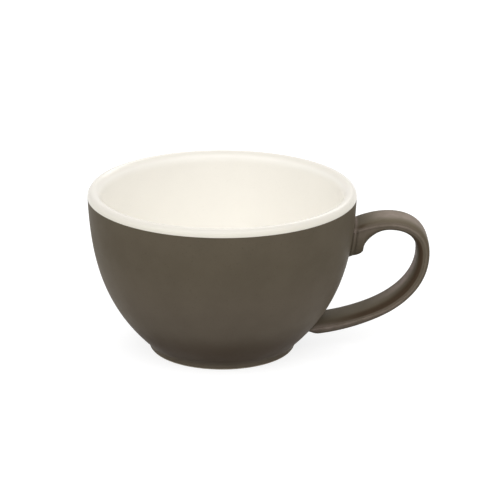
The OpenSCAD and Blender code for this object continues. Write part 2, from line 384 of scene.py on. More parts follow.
def map_node(tree, value, low, high, to_low=0.0, to_high=1.0, way="SMOOTHSTEP"):
    """A value mapped from one range to another."""
    inputs = {
        "Value": value, "From Min": low, "From Max": high, "To Min": to_low, "To Max": to_high
    }
    return add_node(tree, "ShaderNodeMapRange", inputs, interpolation_type=way).outputs["Result"]


def math_node(tree, operation, first, second):
    """The result of a sum, a product or the like."""
    return add_node(tree, "ShaderNodeMath", {0: first, 1: second}, operation=operation).outputs[0]


def mix_node(tree, factor, first, second):
    """A mix of two colours, each a socket or a linear triple."""
    inputs = {"Factor": factor, 6: first, 7: second}
    return add_node(tree, "ShaderNodeMix", inputs, data_type="RGBA").outputs[2]


# Turned pieces


def placed(name, data):
    """A new object in the scene."""
    thing = bpy.data.objects.new(name, data)
    bpy.context.collection.objects.link(thing)
    return thing


def turning_tree():
    """Geometry nodes that turn an outline, a row of points in the XZ plane, about the Z axis."""
    if found := bpy.data.node_groups.get("Turn Outline"):
        return found
    tree, given, result = group_with(
        "Turn Outline",
        {
            "Geometry": ["Outline"],
            "Int": ["Outline Points", "Segments"],
            "Float": ["Weld Distance"],
            "Material": ["Material"],
        },
        {"Geometry": ["Piece"]},
        "GeometryNodeTree",
    )
    rows = given["Outline Points"]

    def made(kind, output, inputs=None, **settings):
        return add_node(tree, kind, inputs, **settings).outputs[output]

    # A grid with a column for each segment and one more, which closes the round
    columns = math_node(tree, "ADD", given["Segments"], 1)
    grid = made("GeometryNodeMeshGrid", "Mesh", {"Vertices X": columns, "Vertices Y": rows})
    index = made("GeometryNodeInputIndex", 0)
    row, column = (
        made("FunctionNodeIntegerMath", 0, {0: index, 1: rows}, operation=way)
        for way in ("MODULO", "DIVIDE")
    )
    where = made("GeometryNodeInputPosition", 0)
    sample = {"Geometry": given["Outline"], "Value": where, "Index": row}
    kind = {"data_type": "FLOAT_VECTOR", "domain": "POINT"}
    point = made("GeometryNodeSampleIndex", "Value", sample, **kind)
    turn = math_node(tree, "MULTIPLY", math_node(tree, "DIVIDE", column, given["Segments"]), 2 * pi)
    spin = {"Vector": point, "Angle": turn}
    place = made("ShaderNodeVectorRotate", 0, spin, rotation_type="Z_AXIS")
    shape = made("GeometryNodeSetPosition", 0, {"Geometry": grid, "Position": place})
    weld = {"Geometry": shape, "Distance": given["Weld Distance"]}
    shape = made("GeometryNodeMergeByDistance", 0, weld)
    shape = made("GeometryNodeSetShadeSmooth", 0, {"Geometry": shape})
    shape = made("GeometryNodeRealizeInstances", 0, {"Geometry": shape})
    paint = {"Geometry": shape, "Material": given["Material"]}
    tree.links.new(made("GeometryNodeSetMaterial", 0, paint), result["Piece"])
    return tree


def socket_id(tree, name):
    """The identifier of a tree's named input."""
    for item in tree.interface.items_tree:
        if item.item_type == "SOCKET" and item.in_out == "INPUT" and item.name == name:
            return item.identifier
    raise RuntimeError(f"{tree.name} has no input called {name}")


def turned_piece(name, outline, segments, material):
    """Turns an outline of (radius, height) points about the cup's axis, as one plain mesh."""
    rail = bpy.data.meshes.new(name + "_outline")
    rail.from_pydata([(p.x, 0, p.y) for p in outline], [], [])
    holder = placed(name + "_outline", rail)
    tree = turning_tree()
    turning = holder.modifiers.new("Turn", "NODES")
    turning.node_group = tree
    values = {"Outline Points": len(outline), "Segments": segments, "Material": material}
    for label, value in {**values, "Weld Distance": WELD_DISTANCE}.items():
        turning[socket_id(tree, label)] = value
    bpy.context.view_layer.update()
    evaluated = holder.evaluated_get(bpy.context.evaluated_depsgraph_get())
    mesh = bpy.data.meshes.new_from_object(evaluated)
    holder.modifiers.remove(turning)
    bpy.data.objects.remove(holder)
    bpy.data.meshes.remove(rail)
    return finished_piece(name, mesh, material, BOWL_SHARP)


def finished_piece(name, mesh, material, sharp):
    """Names a mesh, turns its faces outwards if they aren't, and puts it in the scene."""
    work = bmesh.new()
    work.from_mesh(mesh)
    if work.calc_volume(signed=True) < 0:
        bmesh.ops.reverse_faces(work, faces=work.faces[:])
    if any(len(e.link_faces) != 2 for e in work.edges):
        raise RuntimeError(f"{name} isn't closed")
    work.to_mesh(mesh)
    work.free()
    mesh.name = name
    mesh.materials.clear()
    mesh.materials.append(material)
    mesh.shade_smooth()
    mesh.set_sharp_from_angle(angle=sharp)
    return placed(name, mesh)


# The handle

WALL_SAMPLES = 241
OUT_RINGS, SPUR_RINGS, BACK_RINGS = 170, 12, 110
# Powers that crowd the rings towards the collar, the spur's blunt end and the lower end
OUT_CROWDING, SPUR_CROWDING, BACK_CROWDING = 1.9, 2.5, 1.35
# How far both ends of the handle reach into the wall's coat
SINK = 0.25 * MM

# Places on a broad face, as shares of the way from a side ridge to the middle
EDGE_SHARES = (
    0, 0.007, 0.015, 0.035, 0.038, 0.042, 0.048, 0.056, 0.067, 0.08, 0.1, 0.125, 0.155, 0.19,
    0.24, 0.3, 0.38, 0.48, 0.6, 0.74, 0.87,
)
RIDGE_SHARE, CORE_RIDGE_SHARE, CORNER_FILL = 0.035, 0.125, 0.06
RIDGE_ROUND, RIDGE_ROUND_SHARE = 0.35, 0.015

# Shares of the upper pull within which the rings turn, and within which they follow the wall
TURN_SHARE, WARP_SHARE = 0.83, 0.49
FACE_GROOVE_SHARE, TOE_SHARE, FILLET_SWELL = 0.08, 0.65, 0.45
SPUR_POWER = 2.3
SLIDE_ROUNDS = 4
SWEEP_RISE, SWEEP_FALL = (0.6, 0.4), (0.4, 0.3)

# Painted light and shade across a face, as soft steps (start, run): a painted highlight on a ridge,
# painted shade beside it, and painted light towards the face's middle
RIDGE_SPREAD = 0.045
SHADE_RISE, OUT_SHADE_FALL, IN_SHADE_FALL = (0.034, 0.012), (0.08, 0.2), (0.08, 0.3)
OUT_LIGHT_RISE, IN_LIGHT_RISE = (0.2, 0.5), (0.35, 0.5)

# Painted light and shade along the way out: amounts (first, last), soft steps, humps (middle,
# spread) in collars
LOOP_RISE = (0.55, 0.35)
# Painted highlight on the ridges, and painted shade beside them, from the top end to the loop
OUT_RIDGE_LIGHT, OUT_SHADED = (0.24, 0.06), (0.1, 1.0)
# Painted light on the outer face over the top, and on the inner face in the loop
TOP_LIGHT, TOP_RISE, TOP_FALL = 0.3, (0.14, 0.26), (0.72, 0.24)
INNER_LIGHT, INNER_RISE = 0.66, (0.8, 0.2)
# Painted shade beside the outer face's ridges: everywhere, more in the loop and more near the upper
# root
HOLLOW_ALL, HOLLOW_LOOP, HOLLOW_ROOT, HOLLOW = 0.1, 0.3, 0.6, (2.2, 1.2)
# Painted highlight on the collar's rib
BEAD_LIGHT, BEAD_FADE, BEAD = 0.42, 5, (0.5, 0.45)
CLEAR_COLLARS = 2

# Painted light and shade along the way back, from the loop to the lower root
# Painted highlight on the ridges along the way back, and more near the lower root
BACK_RIDGE_LIGHT, BACK_RISE = (0.08, 0.24), (0.05, 0.5)
ROOT_RIDGE_LIGHT, ROOT_RISE = 0.22, (0.62, 0.3)
# Painted light on the inner face, fading along the way back
INNER_FALL = (0.12, 0.5)
# Painted shade beside the ridges, less on the outer face, fading towards the lower root
BACK_SHADED, BACK_FADE, OUTER_SHADE = (1.0, 0.25), (0.6, 0.3), 0.4
CLEAR_FILLETS = 3


class HandleForm:
    """The handle's rings: a section with two side ridges, carried along a loop on the wall."""

    def __init__(self, b, h):
        self.h = h
        curve = outside_curve(b)
        run = [on_curve(curve, t) for t in np.linspace(0, 1, WALL_SAMPLES)]
        self.heights = [p.y for p in run]
        self.radii = [p.x for p in run]
        self.sink = h.collar + b.glaze
        loop = b.rim_radius + h.reach - h.thickness / 2 + h.ridge_shift
        start = Vector((self.wall_at(h.top_height) - self.sink, h.top_height))
        end = Vector((self.wall_at(h.low_height), h.low_height))
        widest = Vector((loop, h.loop_height))
        self.way_out = [
            start,
            start + h.top_pull * Vector((cos(h.top_rise), sin(h.top_rise))),
            widest + Vector((0, h.high_pull)),
            widest,
        ]
        self.way_back = [
            widest,
            widest - Vector((0, h.loop_pull)),
            end + h.low_pull * Vector((cos(h.low_rise), sin(h.low_rise))),
            end,
        ]

    def wall_at(self, height):
        """Radius of the bowl's outside at a height."""
        return float(np.interp(height, self.heights, self.radii))

    def wall_beside(self, y, height):
        """Distance of the outside from the YZ plane, beside the handle's middle plane."""
        return sqrt(max(self.wall_at(height) ** 2 - y * y, 0))

    def face_height(self, u, half, grow):
        """Height of a broad face above the centre line, at share u in from the ridge."""
        ridge = max(self.h.ridge / 2 + grow, CORE_RIDGE_SHARE * self.h.ridge)
        lift = quarter((1 - u) / (1 - RIDGE_SHARE), self.h.squareness)
        if grow < 0:
            return ridge + (half + grow - ridge) * lift
        # The glaze rounds the ridge's edge and fills the corner beside it
        lift *= (1 + CORNER_FILL) * lift / (lift + CORNER_FILL)
        off = RIDGE_ROUND * max(0.0, 1 - u / RIDGE_ROUND_SHARE) ** 2
        return ridge * (1 - off) + (half + grow - ridge) * lift

    def collar_inset(self, gap):
        """Depth of the two grooves beside the collar."""
        wide = self.h.groove_width
        return self.h.groove * (hump(gap, 0, wide) + hump(gap, self.h.collar, wide))

    def spur(self, gap):
        """How far the finger spur hangs down: straight, round its end, then up in a sweep."""
        h = self.h
        if gap < h.spur_reach - h.spur_round:
            return h.spur_drop
        if gap < h.spur_reach:
            end = quarter((gap - h.spur_reach) / h.spur_round + 1, 2)
            return h.spur_drop - h.spur_round + h.spur_round * end
        if gap < h.spur_run:
            sweep = quarter((h.spur_run - gap) / (h.spur_run - h.spur_reach), SPUR_POWER)
            return (h.spur_drop - h.spur_round) * (1 - sweep)
        return 0.0

    def section(self, half_out, half_in, wide_out, wide_in, grow):
        """One ring, once round, as (height, across, painted ridge highlight, painted shade out, in,
        painted light out, in).
        """
        out, low = [], []
        for u in (*EDGE_SHARES, 1):
            ridge = hump(u, 0, RIDGE_SPREAD)
            beside = risen(u, *SHADE_RISE)
            out_shade = beside * (1 - risen(u, *OUT_SHADE_FALL))
            in_shade = beside * (1 - risen(u, *IN_SHADE_FALL))
            out_light, in_light = risen(u, *OUT_LIGHT_RISE), risen(u, *IN_LIGHT_RISE)
            up, down = self.face_height(u, half_out, grow), -self.face_height(u, half_in, grow)
            out.append((up, wide_out * (1 - u), ridge, out_shade, 0, out_light, 0))
            low.append((down, wide_in * (1 - u), ridge, 0, in_shade, 0, in_light))
        far_out = [(n, -y, *rest) for n, y, *rest in reversed(out[:-1])]
        far_low = [(n, -y, *rest) for n, y, *rest in low[:-1]]
        return out + far_out + far_low + list(reversed(low))

    def out_ring(self, t, grow):
        """A ring on the way out, which follows the wall close to it."""
        h = self.h
        c = on_curve(self.way_out, t)
        head = curve_heading(self.way_out, t)
        gap = c.x - self.wall_at(c.y)
        inset = self.collar_inset(gap)
        face_inset = FACE_GROOVE_SHARE * inset
        half = h.thickness / 2 - face_inset
        sweep = h.ridge_sweep * risen(t, *SWEEP_RISE)
        section = self.section(
            half - h.ridge_shift - sweep,
            half + h.ridge_shift + sweep + self.spur(gap - grow),
            h.width / 2 - face_inset + grow,
            h.width / 2 - inset + grow,
            grow,
        )
        a = pi / 2 + eased(gap / (TURN_SHARE * h.top_pull)) * atan2(head.y, head.x)
        keep = eased(gap / (WARP_SHARE * h.top_pull))
        # How strong each painted mark is here: painted highlight on the ridges and the collar's rib,
        # painted light on the top and inner faces, painted shade beside the ridges
        clear = eased(gap / (CLEAR_COLLARS * h.collar))
        looped = risen(t, *LOOP_RISE)
        light_strength = clear * blend(OUT_RIDGE_LIGHT, looped)
        spread = clear * blend(OUT_SHADED, looped)
        high = TOP_LIGHT * risen(t, *TOP_RISE) * (1 - risen(t, *TOP_FALL))
        inside = INNER_LIGHT * risen(t, *INNER_RISE)
        # Painted shade near the upper root and beside the outer ridges
        root = HOLLOW_ROOT * hump(gap / h.collar, *HOLLOW)
        hollow = HOLLOW_ALL + HOLLOW_LOOP * spread + root
        bead = BEAD_LIGHT * hump(gap / h.collar, *BEAD)
        ring = []
        for n, y, ridge, shade_out, shade_in, light_out, light_in in section:
            x, z = c.x + (n + sweep) * cos(a), c.y + (n + sweep) * sin(a)
            on_wall = self.wall_beside(y, z) + gap
            fade = exp(BEAD_FADE * min(n, 0) / h.spur_drop)
            # This point's painted light and highlight, then its painted shade
            thin = ridge * light_strength + light_out * high + light_in * inside + bead * fade
            shaded = shade_out * hollow + shade_in * spread
            ring.append((on_wall + keep * (x - on_wall), y, z, thin, shaded))
        return ring

    def back_ring(self, t, grow, beyond=0.0):
        """A ring on the way back, or past its end inside the wall."""
        h = self.h
        head = curve_heading(self.way_back, t)
        c = on_curve(self.way_back, t) + head * beyond
        gap = c.x - self.wall_at(c.y)
        run_out = FILLET_SWELL * h.fillet * max(0.0, 1 - max(gap, 0) / h.fillet) ** 2
        half = h.thickness / 2 + (h.root_thickness - h.thickness) / 2 * t * t
        toe = 1 - TOE_SHARE * (1 - eased(gap / h.toe_run))
        sweep = h.ridge_sweep * (1 - risen(t, *SWEEP_FALL))
        up = toe * (half - h.ridge_shift) - sweep + run_out
        down = half + h.ridge_shift + sweep + run_out
        wide = h.width / 2 + grow + run_out
        a = pi / 2 + atan2(head.y, head.x)
        keep = eased(gap / (WARP_SHARE * h.top_pull))
        # How strong each painted mark is here: painted highlight on the ridges, painted light on the
        # inner face, painted shade beside the ridges
        clear = eased(gap / (CLEAR_FILLETS * h.fillet))
        rooted = ROOT_RIDGE_LIGHT * risen(t, *ROOT_RISE)
        light_strength = clear * (blend(BACK_RIDGE_LIGHT, risen(t, *BACK_RISE)) + rooted)
        inside = INNER_LIGHT * (1 - risen(t, *INNER_FALL))
        spread = blend(BACK_SHADED, risen(t, *BACK_FADE))
        ring = []
        for n, y, ridge, shade_out, shade_in, _, light_in in self.section(up, down, wide, wide, grow):
            # The way back heads inwards, so the outer face lies on the other side of its heading
            x, z = c.x + (n + sweep) * cos(a), c.y + (n + sweep) * sin(a)
            slide = 0.0
            for _ in range(SLIDE_ROUNDS):
                off = self.wall_beside(y, z + slide * head.y) + gap - (x + slide * head.x)
                slide += off / head.x
            slide *= 1 - keep
            # This point's painted light and highlight, then its painted shade
            thin = ridge * light_strength + light_in * inside
            shaded = (OUTER_SHADE * shade_out + shade_in) * spread
            ring.append((x + slide * head.x, y, z + slide * head.y, thin, shaded))
        return ring

    def rings(self, grow):
        """All rings, from just inside the wall at the top to just inside it at the bottom."""
        h = self.h
        speed = 3 * h.top_pull * cos(h.top_rise)
        first = (self.sink - SINK) / speed
        shares = [first + (1 - first) * s**OUT_CROWDING for s in np.linspace(0, 1, OUT_RINGS)]
        # More rings on both sides of the spur's steep end
        near = [h.spur_round * s**SPUR_CROWDING for s in np.linspace(0, 1, SPUR_RINGS)]
        near += [-n for n in near]
        shares += [(self.sink + h.spur_reach + n + max(-grow, 0)) / speed for n in near]
        shares = sorted(set(round(t, 7) for t in shares))
        rows = [self.out_ring(t, grow) for t in shares]
        way = np.linspace(0, 1, BACK_RINGS)[1:]
        rows += [self.back_ring(1 - (1 - s) ** BACK_CROWDING, grow) for s in way]
        rows.append(self.back_ring(1, grow, SINK))
        return rows


def tube_mesh(name, outer, inner):
    """A coat as a closed mesh: an outer tube, an inner tube, and a band at each end."""
    count = len(outer[0])
    points = [p for ring in (*outer, *inner) for p in ring]
    bore = len(points) // 2
    # Each band of faces lies between two rings, given by their first points
    bands = []
    for row in range(0, bore - count, count):
        bands += [(row, row + count), (bore + row + count, bore + row)]
    bands += [(bore, 0), (bore - count, 2 * bore - count)]
    sides = [(j, (j + 1) % count) for j in range(count)]
    faces = [(a + j, a + k, b + k, b + j) for a, b in bands for j, k in sides]
    mesh = bpy.data.meshes.new(name)
    mesh.from_pydata([p[:3] for p in points], [], faces)
    # Each point carries its painted light and its painted shade, which the material reads
    for place, label in ((3, "thin"), (4, "pooled")):
        values = [p[place] for p in points]
        mesh.attributes.new(label, "FLOAT", "POINT").data.foreach_set("value", values)
    mesh.update()
    return mesh


# Materials


def mottle_group():
    """Cloudy variation: broad clouds and fine specks shift a glaze's colour and its roughness."""
    if found := bpy.data.node_groups.get("Glaze Mottle"):
        return found
    tree, given, result = group_with(
        "Glaze Mottle",
        {
            "Vector": ["Vector"],
            "Color": ["Colour", "Cloud Colour", "Speck Colour"],
            "Float": ["Cloud Scale", "Cloud Amount", "Speck Scale", "Speck Amount"]
            + ["Roughness", "Roughness Spread"],
        },
        {"Color": ["Colour"], "Float": ["Roughness"]},
    )
    clouds = noise_node(tree, given["Vector"], given["Cloud Scale"], detail=5, roughness=0.6)
    cloud = map_node(tree, clouds, low=0.35, high=0.68)
    amount = math_node(tree, "MULTIPLY", cloud, given["Cloud Amount"])
    toned = mix_node(tree, amount, given["Colour"], given["Cloud Colour"])
    specks = noise_node(tree, given["Vector"], given["Speck Scale"], detail=2, roughness=0.7)
    speck = map_node(tree, specks, low=0.6, high=0.72)
    dots = math_node(tree, "MULTIPLY", speck, given["Speck Amount"])
    tree.links.new(mix_node(tree, dots, toned, given["Speck Colour"]), result["Colour"])
    middle = math_node(tree, "SUBTRACT", cloud, 0.5)
    swing = math_node(tree, "MULTIPLY", middle, given["Roughness Spread"])
    tree.links.new(math_node(tree, "ADD", swing, given["Roughness"]), result["Roughness"])
    return tree


def skin_group():
    """The height of a fired surface: slow waves, a fine skin and a few pinholes."""
    if found := bpy.data.node_groups.get("Fired Skin"):
        return found
    tree, given, result = group_with(
        "Fired Skin",
        {
            "Vector": ["Vector"],
            "Float": ["Wave Scale", "Wave Height", "Grain Scale", "Grain Height"]
            + ["Pinhole Scale", "Pinhole Depth"],
        },
        {"Float": ["Height"]},
    )
    waves = noise_node(tree, given["Vector"], given["Wave Scale"], detail=2)
    grain = noise_node(tree, given["Vector"], given["Grain Scale"], detail=3, roughness=0.6)
    inputs = {"Vector": given["Vector"], "Scale": given["Pinhole Scale"]}
    cells = add_node(tree, "ShaderNodeTexVoronoi", inputs).outputs["Distance"]
    holes = map_node(tree, cells, 0.05, 0.13, to_low=1.0, to_high=0.0)
    apart = noise_node(tree, given["Vector"], scale=90, detail=1)
    rare = map_node(tree, apart, low=0.56, high=0.62)
    pits = math_node(tree, "MULTIPLY", holes, rare)
    height = math_node(tree, "MULTIPLY", waves, given["Wave Height"])
    fine = math_node(tree, "MULTIPLY", grain, given["Grain Height"])
    depth = math_node(tree, "MULTIPLY", pits, given["Pinhole Depth"])
    total = math_node(tree, "SUBTRACT", math_node(tree, "ADD", height, fine), depth)
    tree.links.new(total, result["Height"])
    return tree


def band_group():
    """A soft mask between two heights, measured on the object's own Z."""
    if found := bpy.data.node_groups.get("Height Band"):
        return found
    tree, given, result = group_with(
        "Height Band", {"Vector": ["Vector"], "Float": ["Full", "Gone"]}, {"Float": ["Mask"]}
    )
    height = add_node(tree, "ShaderNodeSeparateXYZ", {0: given["Vector"]}).outputs["Z"]
    mask = map_node(tree, height, given["Full"], given["Gone"], to_low=1.0, to_high=0.0)
    tree.links.new(mask, result["Mask"])
    return tree


def linear(colour, factor=1.0):
    """A stored colour as a plain triple, made lighter or darker."""
    return tuple(min(v * factor, 1.0) for v in colour)


class Finish:
    """A material with a Principled shader on object coordinates."""

    def __init__(self, name):
        self.material = bpy.data.materials.new(name)
        self.material.use_nodes = True
        self.tree = self.material.node_tree
        self.shader = self.tree.nodes["Principled BSDF"]
        self.place = self.tree.nodes.new("ShaderNodeTexCoord").outputs["Object"]

    def group(self, tree, **values):
        """The outputs of a shared group on object coordinates, with its inputs set by name."""
        inputs = {label.replace("_", " "): value for label, value in values.items()}
        inputs["Vector"] = self.place
        return add_node(self.tree, "ShaderNodeGroup", inputs, node_tree=tree).outputs

    def mottle(self, colour, clouds, specks, roughness):
        """A colour with clouds and specks, each (tone, scale, amount), and (roughness, spread)."""
        mottled = self.group(
            mottle_group(),
            Colour=linear(colour), Roughness=roughness[0], Roughness_Spread=roughness[1],
            Cloud_Colour=linear(colour, clouds[0]), Cloud_Scale=clouds[1], Cloud_Amount=clouds[2],
            Speck_Colour=linear(colour, specks[0]), Speck_Scale=specks[1], Speck_Amount=specks[2],
        )
        self.feed("Roughness", mottled["Roughness"])
        return mottled["Colour"]

    def skin(self, depth, strength, waves, grain, pinholes):
        """A bump of so many millimetres; waves, grain and pinholes are (scale, height)."""
        skin = self.group(
            skin_group(),
            Wave_Scale=waves[0], Wave_Height=waves[1], Grain_Scale=grain[0],
            Grain_Height=grain[1], Pinhole_Scale=pinholes[0], Pinhole_Depth=pinholes[1],
        )
        inputs = {"Distance": depth * MM, "Strength": strength, "Height": skin["Height"]}
        self.feed("Normal", add_node(self.tree, "ShaderNodeBump", inputs).outputs["Normal"])

    def band(self, heights):
        """A mask that is full at one height and gone at another, in millimetres."""
        full, gone = heights
        return self.group(band_group(), Full=full * MM, Gone=gone * MM)["Mask"]

    def far_from_axis(self, low, high):
        """A soft mask that rises between two distances from the object's upright axis."""
        inputs = {0: self.place, 1: (1, 1, 0)}
        flat = add_node(self.tree, "ShaderNodeVectorMath", inputs, operation="MULTIPLY")
        inputs = {0: flat.outputs["Vector"]}
        radius = add_node(self.tree, "ShaderNodeVectorMath", inputs, operation="LENGTH")
        return map_node(self.tree, radius.outputs["Value"], low * MM, high * MM)

    def attribute(self, name):
        """A value that the piece's own points carry."""
        return add_node(self.tree, "ShaderNodeAttribute", attribute_name=name).outputs["Fac"]

    def mix(self, amount, first, second):
        """A mix of two colours by a mask, the second a stored one."""
        return mix_node(self.tree, amount, first, linear(second))

    def times(self, first, second):
        """The product of two masks or numbers."""
        return math_node(self.tree, "MULTIPLY", first, second)

    def set(self, **values):
        """Sets constant values on the shader's own sockets."""
        for label, value in values.items():
            self.shader.inputs[label.replace("_", " ")].default_value = value

    def feed(self, label, socket):
        """Links a changing colour or value into the shader."""
        self.tree.links.new(socket, self.shader.inputs[label])


def brown_glaze_material(looks, ridged):
    """The matt grey-brown glaze: cloudy, finely grained, lighter on the handle, with painted light
    on ridges, faces and belly and painted shade in corners and low on the bowl.
    """
    name = "brown_glaze_handle" if ridged else "brown_glaze_wall"
    if found := bpy.data.materials.get(name):
        return found
    finish = Finish(name)
    colour = finish.mottle(
        linear(looks.brown, looks.handle_painted_light if ridged else 1.0),
        clouds=(0.88, 70, 0.6),
        specks=(0.55, 1500, 0.3),
        roughness=(looks.brown_roughness, 0.07),
    )
    if ridged:
        # On the handle, the painted light and painted shade come from its points, the painted light
        # in patches
        patches = noise_node(finish.tree, finish.place, scale=260, detail=3)
        light_strength = map_node(finish.tree, patches, 0.3, 0.6, to_low=0.5, to_high=0.9)
        thin, pooled = finish.times(finish.attribute("thin"), light_strength), finish.attribute("pooled")
    else:
        # On the bowl, painted shade low down, clear of the foot, and painted light on the belly
        band = math_node(
            finish.tree, "SUBTRACT", finish.band(SHADED_ABOVE_FOOT), finish.band(CLEAR_OF_SHADE)
        )
        thin = finish.times(finish.band(LIT_BELLY), LIT_AMOUNT)
        pooled = finish.times(band, SHADED_AMOUNT)
    # The painted light first, then the painted shade, go into the glaze's colour
    colour = finish.mix(thin, colour, looks.brown_painted_light)
    finish.feed("Base Color", finish.mix(pooled, colour, looks.brown_painted_shade))
    finish.skin(0.12, 0.5, waves=(110, 0.5), grain=(2600, 0.12), pinholes=(300, 0.25))
    finish.set(IOR=1.5, Specular_IOR_Level=0.05)
    return finish.material


def cream_glaze_material(looks):
    """The glossy cream glaze: faint clouds, slow waves, a warmer side and painted shade on the lip's
    crest.
    """
    finish = Finish("cream_glaze_gloss")
    colour = finish.mottle(
        looks.cream,
        clouds=(0.965, 35, 0.5),
        specks=(0.8, 1100, 0.12),
        roughness=(looks.cream_roughness, 0.05),
    )
    colour = finish.mix(finish.far_from_axis(*LIP_SIDE), colour, looks.cream_lip)
    # Painted shade on the lip's crest
    finish.feed("Base Color", finish.mix(finish.band(LIP_CREST), colour, looks.cream_painted_shade))
    finish.skin(0.12, 0.35, waves=(90, 0.6), grain=(1200, 0.04), pinholes=(200, 0.2))
    finish.set(IOR=1.5, Specular_IOR_Level=0.28)
    return finish.material


def clay_material(name, colour):
    """Bare fired clay: rough, grainy, with darker grog in it."""
    if found := bpy.data.materials.get(name):
        return found
    finish = Finish(name)
    mottled = finish.mottle(
        colour, clouds=(0.86, 140, 0.7), specks=(0.45, 2200, 0.6), roughness=(0.85, 0.1)
    )
    finish.feed("Base Color", mottled)
    finish.skin(0.15, 0.8, waves=(300, 0.3), grain=(3200, 0.6), pinholes=(700, 0.6))
    finish.set(IOR=1.45, Specular_IOR_Level=0.25)
    return finish.material


# Operators


def seat(piece, slot, *nodes):
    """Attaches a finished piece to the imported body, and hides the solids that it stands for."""
    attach(piece, "root")
    if nodes:
        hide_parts(*nodes)


class CUP_OT_clay_body(bpy.types.Operator):
    """Turn the clay body: wall, floor and bare foot ring"""

    bl_idname = "cup.clay_body"
    bl_label = "Clay body"

    def execute(self, context):
        b, looks = context.scene.cup_bowl, context.scene.cup_looks
        g = b.glaze
        ring_in, recess = recess_radii(b)
        inner_edge, outer_edge = Vector((ring_in, 0)), Vector((b.foot_radius - g, 0))
        side = Vector((recess, b.recess_height))
        outline = [Vector((0, b.recess_height)), side]
        outline += rounded(inner_edge, side, outer_edge, b.foot_edge)
        outline += rounded(outer_edge, inner_edge, foot_corner(b, g), b.foot_edge)
        outline += wall_outline(b, g, COARSE_WALL)
        outline += lip_outline(b, g, COARSE_LIP) + floor_outline(b, g, COARSE_FLOOR)
        outline.append(Vector((0, b.floor_height - g)))
        material = clay_material("fired_clay", looks.clay)
        piece = turned_piece("clay_body", outline, b.segments, material)
        seat(piece, "bare_clay", "cup_body")
        return {"FINISHED"}


class CUP_OT_liner_glaze(bpy.types.Operator):
    """Turn the cream glaze that lines the bowl and wraps the lip"""

    bl_idname = "cup.liner_glaze"
    bl_label = "Cream liner"

    def execute(self, context):
        b, looks = context.scene.cup_bowl, context.scene.cup_looks
        g = b.glaze
        outer = lip_outline(b, 0, FINE_LIP) + floor_outline(b, 0, FINE_FLOOR)
        outline = [Vector((0, b.floor_height)), *reversed(outer)]
        outline += lip_outline(b, g, COARSE_LIP) + floor_outline(b, g, COARSE_FLOOR)
        outline.append(Vector((0, b.floor_height - g)))
        piece = turned_piece("cream_liner", outline, b.segments, cream_glaze_material(looks))
        seat(piece, "cream_glaze", "liner_glaze")
        return {"FINISHED"}


class CUP_OT_wall_glaze(bpy.types.Operator):
    """Turn the matt brown glaze on the outside, from the glaze line to the foot"""

    bl_idname = "cup.wall_glaze"
    bl_label = "Brown wall coat"

    def execute(self, context):
        b, looks = context.scene.cup_bowl, context.scene.cup_looks
        low_out = Vector((b.foot_radius, b.foot_bare))
        low_in = Vector((b.foot_radius - b.glaze, b.foot_bare))
        outline = [low_in]
        outline += rounded(low_out, low_in, foot_corner(b, 0), COAT_EDGE_SHARE * b.glaze)
        outline += wall_outline(b, 0, FINE_WALL, b.foot_fillet)
        outline += list(reversed(wall_outline(b, b.glaze, COARSE_WALL))) + [low_in]
        material = brown_glaze_material(looks, False)
        piece = turned_piece("brown_wall_coat", outline, b.segments, material)
        seat(piece, "brown_glaze", "wall_glaze")
        return {"FINISHED"}


class CUP_OT_base_glaze(bpy.types.Operator):
    """Turn the glaze in the recess under the foot"""

    bl_idname = "cup.base_glaze"
    bl_label = "Brown base coat"

    def execute(self, context):
        b, looks = context.scene.cup_bowl, context.scene.cup_looks
        g = b.glaze
        ring_in, recess = recess_radii(b)
        slope = b.recess_draft / (b.recess_height - b.foot_edge)
        side = Vector((ring_in - slope * (b.foot_bare - b.foot_edge), b.foot_bare))
        low = side - Vector((g, 0))
        corner = Vector((recess - g, b.recess_height - g))
        middle = Vector((0, b.recess_height - g))
        outline = [Vector((0, b.recess_height)), Vector((recess, b.recess_height)), side]
        outline += rounded(low, side, corner, BASE_EDGE_SHARE * g)
        outline += rounded(corner, low, middle, RECESS_CORNER) + [middle]
        material = brown_glaze_material(looks, False)
        piece = turned_piece("brown_base_coat", outline, b.segments, material)
        seat(piece, "brown_glaze", "base_glaze")
        return {"FINISHED"}


class CUP_OT_handle_glaze(bpy.types.Operator):
    """Build the handle's coat, with its side ridges, finger spur and collar"""

    bl_idname = "cup.handle_glaze"
    bl_label = "Handle coat"

    def execute(self, context):
        b, looks = context.scene.cup_bowl, context.scene.cup_looks
        form = HandleForm(b, context.scene.cup_handle)
        mesh = tube_mesh("handle_coat", form.rings(0), form.rings(-b.glaze))
        material = brown_glaze_material(looks, True)
        piece = finished_piece("handle_coat", mesh, material, HANDLE_SHARP)
        seat(piece, "brown_glaze", "handle_glaze")
        return {"FINISHED"}


class CUP_OT_hidden_clay(bpy.types.Operator):
    """Give the clay under the handle's coat, and its two slip joints, their own finish"""

    bl_idname = "cup.hidden_clay"
    bl_label = "Handle clay and joints"

    def execute(self, context):
        looks = context.scene.cup_looks
        clay = clay_material("fired_clay", looks.clay)
        slip = clay_material("fired_slip", looks.slip)
        for name, material in (("handle", clay), ("upper_joint", slip), ("lower_joint", slip)):
            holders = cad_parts[name].material_slots
            if not holders:
                raise RuntimeError(f"{name} has no material slot")
            for holder in holders:
                holder.material = material
        return {"FINISHED"}


